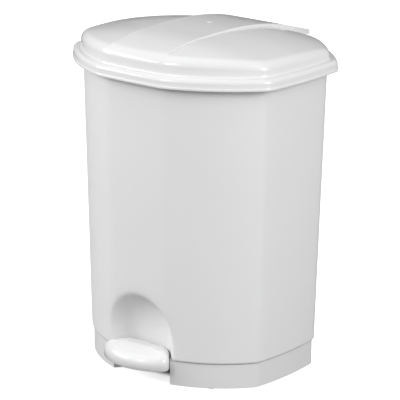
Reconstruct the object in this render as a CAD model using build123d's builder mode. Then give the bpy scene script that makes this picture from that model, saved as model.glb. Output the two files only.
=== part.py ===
from build123d import *
import math
import os

# A household pedal bin, in millimetres. +Z is up, the pedal faces -Y, and the origin is on the floor
# under the centre of the faceted plan. The plan is an elongated octagon with gently bulged facets:
# every moulding uses the same outline, grown outwards by some distance from the base skirt's.

# ---- plan of the base skirt
FRONT_CORNER_X = 40.4
FRONT_CORNER_Y = 117.2
SIDE_CORNER_X = 131.3
SIDE_CORNER_Y = 54.5
FRONT_BULGE = 1.2
DIAGONAL_BULGE = 9.8
SIDE_BULGE = 4.0
CORNER_RADIUS = 12.0

# ---- heights above the floor
SKIRT_BOTTOM = 1.0
SKIRT_TOP = 33.0
RIM_TOP = 379.5

# ---- walls, and how far each outline is grown from the skirt's
WALL = 2.2
BODY_FOOT_GROW = 2.5
BODY_TOP_GROW = 11.0
BODY_LIP_GROW = 15.0
SHADOW_GROOVE_HEIGHT = 1.6
SHADOW_GROOVE_DEPTH = 1.1
LIP_THICK = 2.5
FLOOR_THICK = 3.0

# ---- lid: heights are counted from the body's rim, and the ridge's Y in shares of the half depth
LID_DROP = 4.5
LEDGE_RISE = 9.5
CROWN_RISE = 40.5
LID_RIM_GROW = 23.0
DOME_GROW = 13.5
LEDGE_RADIUS = 5.0
SHOULDER_RADIUS = 9.0
CROWN_RADIUS = 644.0
CROWN_Y = -35.0
BAND_HALF = 44.0
BAND_RIDGE = [(-1.123, 15.5), (-0.98, 31.5), (-0.676, 40.5), (-0.329, 42.8), (0.076, 43.0), (0.481, 38.5),
              (0.828, 31.5), (1.132, 22.5)]
TAIL_REACH = 36.6
TAIL_TOP_RISE = 16.5
TAIL_BOTTOM_RISE = 11.0

# ---- inner bucket
BUCKET_TOP_GROW = 7.0
BUCKET_FOOT_GROW = -31.0
BUCKET_FLOOR = 52.0
BUCKET_FLANGE_GROW = 10.5
BUCKET_WALL = 1.8

# ---- toe recess in the front, an arch that narrows as it goes in
RECESS_HALF = 48.5
RECESS_SPRING = 58.0
RECESS_DEPTH = 24.0
RECESS_TAPER = 35.0
RECESS_BACK_RADIUS = 9.0
RECESS_LEAD = 30.0

# ---- lid hinge, lug and lift rod
LID_SWING = 74.0
HINGE_REACH = 30.1
HINGE_RISE = 4.0
HINGE_PIN_R = 2.5
KNUCKLE_R = 5.3
KNUCKLE_HALF = 22.0
EAR_GAP = 2.0
EAR_THICK = 5.0
EAR_DROP = 2.5
EAR_FOOT_DROP = 34.5
LUG_ARM = 15.0
LUG_R = 4.0
LUG_THICK = 6.0
LUG_HALF = 5.0
LUG_GAP = 0.6
ROD_R = 2.25
ROD_X = -11.0
ROD_BEND = 5.0
ROD_BAR_END = 9.0

# ---- rear channel that the rod runs in
CHANNEL_HALF = 20.0
CHANNEL_REACH = 25.1
CHANNEL_DROP = 15.5
GUIDE_HEIGHT = 8.0
GUIDE_END_GAP = 28.0

# ---- pedal lever and its axle
AXLE_Y = -30.0
AXLE_Z = 20.0
AXLE_R = 3.0
RAIL_MARGIN = 2.3
RAIL_THICK = 4.0
AXLE_OVERHANG = 5.5
CLIP_GAP = 0.6
CLIP_THICK = 1.2
CLIP_R = 6.0
GROOVE_R = 2.4
LEVER_HUB_R = 7.5
LEVER_NECK_HALF = 16.0
LEVER_THICK = 5.0
LEVER_RIB_X = 10.0
LEVER_RIB_THICK = 3.0
LEVER_RIB_DEPTH = 7.0
EYE_R = 5.5
EYE_CLEAR = 0.9

# ---- tread: reaches are counted from the skirt's front face
TREAD_OVERLAP = 3.5
TREAD_FRONT_REACH = 31.6
TREAD_SIDE_REACH = 9.6
TREAD_INSET = 18.4
TREAD_BOTTOM = 22.0
TREAD_TOP = 40.0
TREAD_WALL = 2.6
TREAD_CORNER_RADIUS = 8.0
TREAD_EDGE_RADIUS = 7.5
TREAD_SIDE_GAP = 3.4
TREAD_NECK_GAP = 2.4
PLATE_RISE = 4.0
PLATE_HALF = 28.0
PLATE_INSET = 11.7
PLATE_CHAMFER = 6.0
PLATE_SHOULDER = 8.0
HUB_MARGIN = 2.0
RIB_FRONT_INSET = 5.6
RIB_REAR_Y = 60.0

# ---- fasteners, feet and bumpers
SCREW_FRONT_Y = -62.0
SCREW_REAR_Y = 70.0
SCREW_R = 1.9
SCREW_HEAD_R = 3.9
SCREW_HEAD_THICK = 3.0
SCREW_SEAT = 24.0
SCREW_GRIP = 13.0
SCREW_COVER = 2.0
BOSS_MERGE = 0.2
BASE_BOSS_R = 6.2
BODY_BOSS_R = 5.5
TREAD_SCREW_X = 18.0
TREAD_SCREW_INSET = 26.0
TREAD_SCREW_COVER = 2.4
TREAD_SCREW_R = 1.6
TREAD_SCREW_HEAD_R = 3.2
TREAD_SCREW_HEAD_THICK = 2.0
TREAD_POST_R = 5.0
FLANGE_THICK = 2.5
FLANGE_WIDTH = 14.0
FOOT_R = 6.0
FOOT_STEM_R = 2.5
FOOT_HEAD_R = 3.8
FOOT_HEAD_THICK = 1.5
BUMPER_R = 2.6

# ---- fits
RUNNING_FIT = 0.06
SNUG = 0.05
LOOSE = 0.3
REST_GAP = 0.1
END_FIT = 1.0

# ---- values worked out from the dimensions above
half_depth = FRONT_CORNER_Y + FRONT_BULGE
lid_edge = RIM_TOP - LID_DROP
ledge_top = RIM_TOP + LEDGE_RISE
crown_top = RIM_TOP + CROWN_RISE
tail_end = half_depth + TAIL_REACH
tail_bottom = RIM_TOP + TAIL_BOTTOM_RISE
floor_top = SKIRT_TOP + FLOOR_THICK
flange_top = SKIRT_BOTTOM + FLANGE_THICK
body_draft = (BODY_TOP_GROW - BODY_FOOT_GROW) / (RIM_TOP - SKIRT_TOP)

hinge_y = half_depth + HINGE_REACH
hinge_z = RIM_TOP + HINGE_RISE
ear_inner = KNUCKLE_HALF + EAR_GAP
half_swing = math.radians(LID_SWING / 2)
rod_stroke = 2 * LUG_ARM * math.sin(half_swing)
lug_rest_y = hinge_y - LUG_ARM * math.cos(half_swing)
lug_rest_z = hinge_z - LUG_ARM * math.sin(half_swing)
rod_y = (lug_rest_y + hinge_y - LUG_ARM) / 2
rod_top_z = lug_rest_z - math.sqrt((LUG_R + ROD_R + LUG_GAP) ** 2 - (rod_y - lug_rest_y) ** 2)
lever_arm = math.hypot(rod_y - AXLE_Y, rod_stroke / 2)
lever_swing = 2 * math.degrees(math.asin(rod_stroke / 2 / lever_arm))
eye_rest_z = AXLE_Z - rod_stroke / 2
print(f"lid hinge at y {hinge_y:.3f}, z {hinge_z:.3f}, swing {LID_SWING:.1f} degrees")
print(f"pedal hinge at y {AXLE_Y:.3f}, z {AXLE_Z:.3f}, swing {lever_swing:.4f} degrees")
print(f"rod slide {rod_stroke:.3f} mm")

channel_rear = half_depth + CHANNEL_REACH
channel_top = RIM_TOP - CHANNEL_DROP
channel_inner_half = CHANNEL_HALF - WALL
channel_inner_rear = channel_rear - WALL
lug_window = half_depth + BODY_TOP_GROW - WALL - END_FIT

recess_slope = math.tan(math.radians(RECESS_TAPER))
recess_face = -half_depth - BODY_FOOT_GROW
recess_back_half = RECESS_HALF - RECESS_DEPTH * recess_slope
rail_inner = recess_back_half + RAIL_MARGIN
rail_outer = rail_inner + RAIL_THICK
hub_half = rail_inner - END_FIT
axle_half = rail_outer + AXLE_OVERHANG
clip_x = rail_outer + CLIP_GAP

tread_half = RECESS_HALF + TREAD_OVERLAP
tread_front = -half_depth - TREAD_FRONT_REACH
tread_side_y = -half_depth - TREAD_SIDE_REACH
tread_back = -half_depth + TREAD_INSET
tread_back_half = RECESS_HALF - (tread_back - recess_face) * recess_slope - TREAD_SIDE_GAP
plate_z = TREAD_BOTTOM + PLATE_RISE
plate_top = plate_z + LEVER_THICK / 2
plate_bottom = plate_z - LEVER_THICK / 2
tread_screw_y = tread_front + TREAD_SCREW_INSET
tread_screw_tip = TREAD_TOP - TREAD_WALL - TREAD_SCREW_COVER

screw_x = rail_outer + BASE_BOSS_R - BOSS_MERGE
screw_places = [(x, y) for x in (-screw_x, screw_x) for y in (SCREW_FRONT_Y, SCREW_REAR_Y)]
screw_tip = SKIRT_TOP + SCREW_GRIP
body_boss_top = screw_tip + SCREW_COVER
tread_screw_places = [(-TREAD_SCREW_X, tread_screw_y), (TREAD_SCREW_X, tread_screw_y)]


def corners(grow):
    """The octagon's eight corners, with every facet moved outwards by grow."""
    facet_turn = math.atan2(FRONT_CORNER_Y - SIDE_CORNER_Y, SIDE_CORNER_X - FRONT_CORNER_X)
    front_x = FRONT_CORNER_X + grow * math.tan(facet_turn / 2)
    front_y = FRONT_CORNER_Y + grow
    side_x = SIDE_CORNER_X + grow
    side_y = SIDE_CORNER_Y + grow * math.tan(math.radians(45) - facet_turn / 2)
    right = [(front_x, -front_y), (side_x, -side_y), (side_x, side_y), (front_x, front_y)]
    left = [(-x, y) for x, y in reversed(right)]
    return right + left


def plan(height, grow):
    """The bulged, round-cornered octagon as a face at a height."""
    points = corners(grow)
    bulges = [DIAGONAL_BULGE, SIDE_BULGE, DIAGONAL_BULGE, FRONT_BULGE] * 2
    with BuildSketch(Plane.XY.offset(height)) as sketch:
        with BuildLine():
            for index, bulge in enumerate(bulges):
                SagittaArc(points[index], points[(index + 1) % len(points)], -bulge)
        make_face()
        fillet(sketch.vertices(), CORNER_RADIUS)
    return sketch.sketch


def tapered(bottom, bottom_grow, top, top_grow):
    """A solid between two plans, with straight drafted walls."""
    with BuildPart() as block:
        add(plan(bottom, bottom_grow))
        add(plan(top, top_grow))
        loft(ruled=True)
    return block.part


def straight(bottom, top, grow):
    """A solid with the plan's outline and upright walls."""
    with BuildPart() as block:
        add(plan(bottom, grow))
        extrude(amount=top - bottom)
    return block.part


def recess(extra):
    """The toe recess as a solid: an arch on the front that narrows inwards, grown by extra."""
    face = Plane(origin=(0, recess_face, 0), x_dir=(1, 0, 0), z_dir=(0, 1, 0))
    below = SKIRT_TOP - FLOOR_THICK
    with BuildPart() as pocket:
        with BuildSketch(face):
            with Locations((0, -RECESS_SPRING)):
                Circle(RECESS_HALF + extra)
            with Locations((0, (below - RECESS_SPRING) / 2)):
                Rectangle(2 * (RECESS_HALF + extra), RECESS_SPRING + below)
        extrude(amount=RECESS_DEPTH + extra, taper=RECESS_TAPER)
        back = pocket.faces().sort_by(Axis.Y)[-1]
        fillet(back.edges().sort_by(Axis.Z)[1:], RECESS_BACK_RADIUS)
        extrude(pocket.faces().sort_by(Axis.Y)[0], amount=RECESS_LEAD)
    return pocket.part


def block(x, y, z):
    """A plain box from its low and high limits along each axis."""
    with BuildPart() as solid:
        with Locations((sum(x) / 2, sum(y) / 2, sum(z) / 2)):
            Box(x[1] - x[0], y[1] - y[0], z[1] - z[0])
    return solid.part


def band(half, drop):
    """The lid's centre band as a solid, with its ridge lowered by drop."""
    ridge = [(share * half_depth, RIM_TOP + rise - drop) for share, rise in BAND_RIDGE]
    tail = (tail_end - drop, RIM_TOP + TAIL_TOP_RISE - drop)
    with BuildPart() as solid:
        with BuildSketch(Plane.YZ):
            with BuildLine():
                Spline(*ridge, tail)
                Polyline(tail, (tail[0], tail_bottom), (half_depth, tail_bottom),
                         (half_depth, ledge_top - WALL),
                         (ridge[0][0], ledge_top - WALL), ridge[0])
            make_face()
        extrude(amount=half, both=True)
    return solid.part


def facet_place(grow, right, rear):
    """A point on the middle of a diagonal facet, grown outwards."""
    start, end = corners(0)[0:2]
    run = (end[0] - start[0], end[1] - start[1])
    normal = (run[1] / math.hypot(*run), -run[0] / math.hypot(*run))
    x = (start[0] + end[0]) / 2 + normal[0] * (DIAGONAL_BULGE + grow)
    y = (start[1] + end[1]) / 2 + normal[1] * (DIAGONAL_BULGE + grow)
    return (x * right, y * -rear)


def save(part, name):
    """Labels a finished piece and writes its STEP file."""
    part.label = name
    export_step(part, f"parts/{name}.step")


os.makedirs("parts", exist_ok=True)

# ---- body shell: tapered faceted bucket with a toe recess, a rear rod channel and two hinge ears
with BuildPart() as cavity:
    add(tapered(floor_top, BODY_FOOT_GROW - WALL, RIM_TOP, BODY_TOP_GROW - WALL))
    add(recess(WALL), mode=Mode.SUBTRACT)

with BuildPart() as body_shell:
    channel_front = half_depth - FLANGE_WIDTH
    add(block((-CHANNEL_HALF, CHANNEL_HALF), (channel_front, channel_rear), (SKIRT_TOP, channel_top)))
    add(block((-channel_inner_half, channel_inner_half), (channel_front, channel_inner_rear),
              (SKIRT_TOP, channel_top)), mode=Mode.SUBTRACT)
    add(tapered(SKIRT_TOP, BODY_FOOT_GROW, RIM_TOP, BODY_TOP_GROW))
    add(straight(RIM_TOP - LIP_THICK, RIM_TOP, BODY_LIP_GROW))
    add(cavity.part, mode=Mode.SUBTRACT)
    add(recess(0), mode=Mode.SUBTRACT)
    # window through the top of the rear wall, so the lid's lug can swing
    add(block((-channel_inner_half, channel_inner_half), (lug_window, channel_rear), (channel_top, RIM_TOP)),
        mode=Mode.SUBTRACT)
    # hinge ears behind the rim, one each side of the lid's knuckle
    ear_root = half_depth + BODY_TOP_GROW - WALL / 2
    ear_front = hinge_y - KNUCKLE_R
    ear_shelf = lid_edge - EAR_DROP
    for side in (-1, 1):
        with BuildSketch(Plane.YZ.offset(side * ear_inner)):
            with BuildLine():
                Polyline((ear_front, hinge_z), (ear_front, ear_shelf), (ear_root, ear_shelf),
                         (ear_root, RIM_TOP - EAR_FOOT_DROP), (hinge_y, RIM_TOP - EAR_FOOT_DROP / 2),
                         (hinge_y + KNUCKLE_R, hinge_z), close=True)
            make_face()
            with Locations((hinge_y, hinge_z)):
                Circle(KNUCKLE_R)
                Circle(HINGE_PIN_R + SNUG, mode=Mode.SUBTRACT)
        extrude(amount=side * EAR_THICK)
    # screw bosses standing on the floor
    with BuildSketch(Plane.XY.offset(SKIRT_TOP)):
        with Locations(*screw_places):
            Circle(BODY_BOSS_R)
    extrude(amount=body_boss_top - SKIRT_TOP)
    with BuildSketch(Plane.XY.offset(SKIRT_TOP)):
        with Locations(*screw_places):
            Circle(SCREW_R + SNUG)
    extrude(amount=SCREW_GRIP + LOOSE, mode=Mode.SUBTRACT)
save(body_shell.part, "body_shell")

# ---- base skirt: open ring with a foot flange, two rails that carry the pedal axle, and screw bosses
with BuildPart() as skirt_cavity:
    add(straight(flange_top, SKIRT_TOP, -WALL))
    add(recess(WALL), mode=Mode.SUBTRACT)

with BuildPart() as base_skirt:
    add(straight(SKIRT_BOTTOM, SKIRT_TOP - SHADOW_GROOVE_HEIGHT, 0))
    # set back under the body's edge, so the two mouldings meet in a shadow line
    add(straight(SKIRT_TOP - SHADOW_GROOVE_HEIGHT, SKIRT_TOP, -SHADOW_GROOVE_DEPTH))
    add(skirt_cavity.part, mode=Mode.SUBTRACT)
    add(straight(SKIRT_BOTTOM, flange_top, -FLANGE_WIDTH), mode=Mode.SUBTRACT)
    add(block((-CHANNEL_HALF, CHANNEL_HALF), (half_depth - WALL, channel_rear), (SKIRT_BOTTOM, SKIRT_TOP)))
    add(block((-channel_inner_half, channel_inner_half), (half_depth - FLANGE_WIDTH, channel_rear),
              (flange_top, SKIRT_TOP)), mode=Mode.SUBTRACT)
    for side in (-1, 1):
        rail = sorted((side * rail_inner, side * rail_outer))
        add(block(rail, (tread_back - RAIL_THICK, half_depth - WALL / 2), (flange_top, SKIRT_TOP)))
    with BuildSketch(Plane.XY.offset(flange_top)):
        with Locations(*screw_places):
            Circle(BASE_BOSS_R)
    extrude(amount=SKIRT_TOP - flange_top)
    add(recess(0), mode=Mode.SUBTRACT)
    # the lever's way in, under the recess's back wall
    add(block((-rail_inner, rail_inner), (tread_back - RAIL_THICK, tread_back + FLANGE_WIDTH),
              (SKIRT_BOTTOM, SKIRT_TOP)), mode=Mode.SUBTRACT)
    with BuildSketch(Plane.XY.offset(flange_top)):
        with Locations(*screw_places):
            Circle(SCREW_HEAD_R + LOOSE)
    extrude(amount=SCREW_SEAT - flange_top, mode=Mode.SUBTRACT)
    with BuildSketch(Plane.XY.offset(SCREW_SEAT)):
        with Locations(*screw_places):
            Circle(SCREW_R + LOOSE)
    extrude(amount=SKIRT_TOP - SCREW_SEAT, mode=Mode.SUBTRACT)
    with BuildSketch(Plane.YZ):
        with Locations((AXLE_Y, AXLE_Z)):
            Circle(AXLE_R + SNUG)
    extrude(amount=rail_outer, both=True, mode=Mode.SUBTRACT)
    with BuildSketch(Plane.XY.offset(SKIRT_BOTTOM)):
        with Locations(*[facet_place(-FLANGE_WIDTH / 2, x, y) for x in (-1, 1) for y in (-1, 1)]):
            Circle(FOOT_STEM_R + SNUG)
    extrude(amount=FLANGE_THICK, mode=Mode.SUBTRACT)
save(base_skirt.part, "base_skirt")

# ---- base screws: four pan-head screws, up through the skirt's bosses into the body
with BuildPart() as base_screws:
    with BuildSketch(Plane.XY.offset(SCREW_SEAT - SCREW_HEAD_THICK)):
        with Locations(*screw_places):
            Circle(SCREW_HEAD_R)
    extrude(amount=SCREW_HEAD_THICK)
    with BuildSketch(Plane.XY.offset(SCREW_SEAT)):
        with Locations(*screw_places):
            Circle(SCREW_R)
    extrude(amount=screw_tip - SCREW_SEAT)
save(base_screws.part, "base_screws")

# ---- rubber feet: a pad under the flange with a barbed stem pushed through it
for end, rear in (("front", -1), ("rear", 1)):
    for hand, right in (("left", -1), ("right", 1)):
        place = facet_place(-FLANGE_WIDTH / 2, right, rear)
        with BuildPart() as foot:
            with Locations((*place, 0)):
                Cylinder(FOOT_R, SKIRT_BOTTOM, align=(Align.CENTER, Align.CENTER, Align.MIN))
            with Locations((*place, SKIRT_BOTTOM)):
                Cylinder(FOOT_STEM_R, FLANGE_THICK, align=(Align.CENTER, Align.CENTER, Align.MIN))
            with Locations((*place, flange_top)):
                Cylinder(FOOT_HEAD_R, FOOT_HEAD_THICK, align=(Align.CENTER, Align.CENTER, Align.MIN))
        save(foot.part, f"foot_{end}_{hand}")

# ---- pedal lever: front plate under the tread, hub on the axle, long arm to an eye under the lift rod
half_thick = LEVER_THICK / 2
plate_front = tread_front + PLATE_INSET
neck_front = tread_back - RAIL_THICK
spine = [(plate_front, plate_z), (neck_front, plate_z), (AXLE_Y, AXLE_Z), (rod_y, eye_rest_z)]
rib_front = neck_front + RIB_FRONT_INSET
outline = [(PLATE_HALF - PLATE_CHAMFER, plate_front), (PLATE_HALF, plate_front + PLATE_CHAMFER),
           (PLATE_HALF, neck_front - PLATE_SHOULDER), (LEVER_NECK_HALF, neck_front + END_FIT),
           (LEVER_NECK_HALF, AXLE_Y - 2 * LEVER_HUB_R), (hub_half, AXLE_Y - LEVER_HUB_R - HUB_MARGIN),
           (hub_half, AXLE_Y + LEVER_HUB_R + HUB_MARGIN), (LEVER_NECK_HALF, AXLE_Y + 2 * LEVER_HUB_R),
           (LEVER_NECK_HALF - LUG_HALF, RIB_REAR_Y), (LUG_HALF, rod_y - 2 * EYE_R),
           (LUG_HALF, rod_y + 2 * EYE_R)]
with BuildPart() as pedal_lever:
    with BuildSketch(Plane.YZ):
        with BuildLine():
            Polyline(*[(y, z + half_thick) for y, z in spine],
                     *[(y, z - half_thick) for y, z in reversed(spine)], close=True)
        make_face()
        with Locations((AXLE_Y, AXLE_Z)):
            Circle(LEVER_HUB_R)
        with Locations((rod_y, eye_rest_z)):
            Circle(EYE_R)
    extrude(amount=hub_half, both=True)
    with BuildSketch(Plane.XY):
        with BuildLine():
            Polyline(*outline, *[(-x, y) for x, y in reversed(outline)], close=True)
        make_face()
    extrude(amount=SKIRT_TOP, mode=Mode.INTERSECT)
    # stiffening ribs under the plate
    for side in (-1, 1):
        with BuildSketch(Plane.YZ.offset(side * LEVER_RIB_X)):
            with BuildLine():
                Polyline((rib_front, plate_z), (AXLE_Y, AXLE_Z), (RIB_REAR_Y, AXLE_Z - LEVER_THICK),
                         (RIB_REAR_Y, AXLE_Z - LEVER_RIB_DEPTH - half_thick),
                         (AXLE_Y, AXLE_Z - LEVER_RIB_DEPTH),
                         (rib_front, plate_z - LEVER_RIB_DEPTH), close=True)
            make_face()
        extrude(amount=-side * LEVER_RIB_THICK)
    with BuildSketch(Plane.YZ):
        with Locations((AXLE_Y, AXLE_Z)):
            Circle(AXLE_R + RUNNING_FIT)
        with Locations((rod_y, eye_rest_z)):
            Circle(ROD_R + EYE_CLEAR)
    extrude(amount=hub_half, both=True, mode=Mode.SUBTRACT)
    with BuildSketch(Plane.XY):
        with Locations(*tread_screw_places):
            Circle(TREAD_SCREW_R + LOOSE)
    extrude(amount=SKIRT_TOP, mode=Mode.SUBTRACT)
save(pedal_lever.part, "pedal_lever")

# ---- pedal tread: crowned D-shaped pad, hollow below, on two posts
with BuildPart() as pedal_tread:
    with BuildSketch(Plane.XY.offset(TREAD_BOTTOM)) as tread_plan:
        with BuildLine():
            ThreePointArc((-tread_half, tread_side_y), (0, tread_front), (tread_half, tread_side_y))
            Polyline((tread_half, tread_side_y), (tread_back_half, tread_back),
                     (-tread_back_half, tread_back),
                     (-tread_half, tread_side_y))
        make_face()
        fillet(tread_plan.vertices(), TREAD_CORNER_RADIUS)
    extrude(amount=TREAD_TOP - TREAD_BOTTOM)
    fillet(pedal_tread.faces().sort_by(Axis.Z)[-1].edges(), TREAD_EDGE_RADIUS)
    with BuildSketch(Plane.XY.offset(TREAD_BOTTOM)):
        add(tread_plan.sketch)
        offset(amount=-TREAD_WALL, mode=Mode.REPLACE)
    extrude(amount=TREAD_TOP - TREAD_BOTTOM - TREAD_EDGE_RADIUS - SNUG, mode=Mode.SUBTRACT)
    with BuildSketch(Plane.XY.offset(plate_top)):
        with Locations(*tread_screw_places):
            Circle(TREAD_POST_R)
    extrude(until=Until.NEXT)
    with BuildSketch(Plane.XY.offset(plate_top)):
        with Locations(*tread_screw_places):
            Circle(TREAD_SCREW_R + SNUG)
    extrude(amount=tread_screw_tip - plate_top + LOOSE, mode=Mode.SUBTRACT)
    neck_gap = LEVER_NECK_HALF + TREAD_NECK_GAP
    add(block((-neck_gap, neck_gap), (tread_back - 2 * TREAD_WALL, tread_back + TREAD_WALL),
              (TREAD_BOTTOM - END_FIT, plate_top + LOOSE)), mode=Mode.SUBTRACT)
save(pedal_tread.part, "pedal_tread")

# ---- tread screws: up through the lever's plate into the tread's posts
with BuildPart() as tread_screws:
    with BuildSketch(Plane.XY.offset(plate_bottom - TREAD_SCREW_HEAD_THICK)):
        with Locations(*tread_screw_places):
            Circle(TREAD_SCREW_HEAD_R)
    extrude(amount=TREAD_SCREW_HEAD_THICK)
    with BuildSketch(Plane.XY.offset(plate_bottom)):
        with Locations(*tread_screw_places):
            Circle(TREAD_SCREW_R)
    extrude(amount=tread_screw_tip - plate_bottom)
save(tread_screws.part, "tread_screws")

# ---- pedal axle: steel pin across both rails, with a groove near each end
with BuildPart() as pedal_axle:
    with Locations((0, AXLE_Y, AXLE_Z)):
        Cylinder(AXLE_R, 2 * axle_half, rotation=(0, 90, 0))
    chamfer(pedal_axle.edges().filter_by(GeomType.CIRCLE), AXLE_R / 6)
    for side in (-1, 1):
        with Locations((side * (clip_x + CLIP_THICK / 2), AXLE_Y, AXLE_Z)):
            Cylinder(2 * AXLE_R, CLIP_THICK + 2 * SNUG, rotation=(0, 90, 0), mode=Mode.SUBTRACT)
            Cylinder(GROOVE_R, CLIP_THICK + 2 * SNUG, rotation=(0, 90, 0))
save(pedal_axle.part, "pedal_axle")

# ---- axle clips: open spring washers in the grooves
for hand, side in (("left", -1), ("right", 1)):
    with BuildPart() as clip:
        with BuildSketch(Plane.YZ.offset(side * clip_x)):
            with Locations((AXLE_Y, AXLE_Z)):
                Circle(CLIP_R)
                Circle(GROOVE_R + SNUG, mode=Mode.SUBTRACT)
            with Locations((AXLE_Y, AXLE_Z - CLIP_R / 2)):
                Rectangle(2 * (GROOVE_R - LOOSE), CLIP_R + SNUG, mode=Mode.SUBTRACT)
        extrude(amount=side * CLIP_THICK)
    save(clip.part, f"axle_clip_{hand}")

# ---- lift rod: steel wire with a cranked foot in the lever's eye and a cranked head under the lid's lug
with BuildPart() as lift_rod:
    with BuildLine() as route:
        FilletPolyline((ROD_BAR_END, rod_y, eye_rest_z), (ROD_X, rod_y, eye_rest_z),
                       (ROD_X, rod_y, rod_top_z),
                       (ROD_BAR_END, rod_y, rod_top_z), radius=ROD_BEND)
    with BuildSketch(Plane(origin=route.line @ 0, z_dir=route.line % 0)):
        Circle(ROD_R)
    sweep(path=route.line)
save(lift_rod.part, "lift_rod")

# ---- rod guides: plastic blocks across the channel, bored for the rod
guide_places = (("rod_guide_lower", SKIRT_TOP + GUIDE_END_GAP),
                ("rod_guide_upper", channel_top - GUIDE_END_GAP))
for name, height in guide_places:
    guide_top = height + GUIDE_HEIGHT
    wall_y = half_depth + BODY_FOOT_GROW + body_draft * (guide_top - SKIRT_TOP) + SNUG
    with BuildPart() as guide:
        add(block((SNUG - channel_inner_half, ROD_X + 3 * ROD_R), (wall_y, channel_inner_rear - SNUG),
                  (height, guide_top)))
        with BuildSketch(Plane.XY.offset(height)):
            with Locations((ROD_X, rod_y)):
                Circle(ROD_R + RUNNING_FIT)
        extrude(amount=GUIDE_HEIGHT, mode=Mode.SUBTRACT)
    save(guide.part, name)

# ---- lid: rolled rim, ledge, domed crown with a raised centre band that runs back over the hinge
with BuildPart() as crown:
    add(straight(ledge_top - WALL, crown_top, DOME_GROW))
    with Locations((0, CROWN_Y, crown_top - CROWN_RADIUS)):
        Sphere(CROWN_RADIUS, mode=Mode.INTERSECT)
    fillet(crown.faces().sort_by(Axis.Z)[-1].edges(), SHOULDER_RADIUS)

with BuildPart() as crown_cavity:
    add(straight(lid_edge, crown_top, DOME_GROW - WALL))
    with Locations((0, CROWN_Y, crown_top - CROWN_RADIUS)):
        Sphere(CROWN_RADIUS - WALL, mode=Mode.INTERSECT)
    fillet(crown_cavity.faces().sort_by(Axis.Z)[-1].edges(), SHOULDER_RADIUS - WALL)

with BuildPart() as band_cavity:
    add(band(BAND_HALF - WALL, WALL))
    add(straight(lid_edge, crown_top + LEDGE_RISE, DOME_GROW - WALL), mode=Mode.INTERSECT)

with BuildPart() as lid:
    add(straight(lid_edge, ledge_top, LID_RIM_GROW))
    fillet(lid.faces().sort_by(Axis.Z)[-1].edges(), LEDGE_RADIUS)
    add(crown.part)
    add(band(BAND_HALF, 0))
    add(straight(lid_edge, ledge_top - WALL, LID_RIM_GROW - WALL), mode=Mode.SUBTRACT)
    add(crown_cavity.part, mode=Mode.SUBTRACT)
    add(band_cavity.part, mode=Mode.SUBTRACT)
    # hinge knuckle under the tail
    with BuildSketch(Plane.YZ):
        with Locations((hinge_y, hinge_z)):
            Circle(KNUCKLE_R)
        with Locations((hinge_y, (hinge_z + tail_bottom) / 2)):
            Rectangle(2 * KNUCKLE_R, tail_bottom - hinge_z)
    extrude(amount=KNUCKLE_HALF, both=True)
    # lug that the rod pushes up
    with BuildSketch(Plane.YZ):
        with Locations((lug_rest_y, lug_rest_z)):
            Circle(LUG_R)
        with Locations(((lug_rest_y + hinge_y) / 2, (lug_rest_z + hinge_z) / 2)):
            Rectangle(LUG_ARM, LUG_THICK, rotation=LID_SWING / 2)
    extrude(amount=LUG_HALF, both=True)
    with BuildSketch(Plane.YZ):
        with Locations((hinge_y, hinge_z)):
            Circle(HINGE_PIN_R + RUNNING_FIT)
    extrude(amount=KNUCKLE_HALF, both=True, mode=Mode.SUBTRACT)
save(lid.part, "lid")

# ---- hinge pin: steel, through both ears and the knuckle
with BuildPart() as hinge_pin:
    with Locations((0, hinge_y, hinge_z)):
        Cylinder(HINGE_PIN_R, 2 * (ear_inner + EAR_THICK + END_FIT), rotation=(0, 90, 0))
    chamfer(hinge_pin.edges().filter_by(GeomType.CIRCLE), HINGE_PIN_R / 5)
save(hinge_pin.part, "hinge_pin")

# ---- lid bumpers: soft pegs under the ledge that land on the body's lip
bumper_bottom = RIM_TOP + REST_GAP
bumper_grow = DOME_GROW - WALL + BUMPER_R + SNUG
for hand, right in (("left", -1), ("right", 1)):
    with BuildPart() as bumper:
        with Locations((*facet_place(bumper_grow, right, -1), bumper_bottom)):
            Cylinder(BUMPER_R, ledge_top - WALL - bumper_bottom,
                     align=(Align.CENTER, Align.CENTER, Align.MIN))
        fillet(bumper.edges().sort_by(Axis.Z)[0], BUMPER_R / 3)
    save(bumper.part, f"lid_bumper_{hand}")

# ---- inner bucket: drafted liner that hangs by its flange on the body's top
with BuildPart() as inner_bucket:
    add(tapered(BUCKET_FLOOR, BUCKET_FOOT_GROW, RIM_TOP, BUCKET_TOP_GROW))
    add(straight(RIM_TOP, RIM_TOP + LIP_THICK, BUCKET_FLANGE_GROW))
    add(tapered(BUCKET_FLOOR + FLOOR_THICK, BUCKET_FOOT_GROW - BUCKET_WALL, RIM_TOP + LIP_THICK,
                BUCKET_TOP_GROW - BUCKET_WALL), mode=Mode.SUBTRACT)
    add(block((-CHANNEL_HALF, CHANNEL_HALF), (lug_window, channel_rear), (RIM_TOP, ledge_top)),
        mode=Mode.SUBTRACT)
save(inner_bucket.part, "inner_bucket")
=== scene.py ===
import math

import bmesh
import bpy
from mathutils import Matrix, Vector


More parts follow.
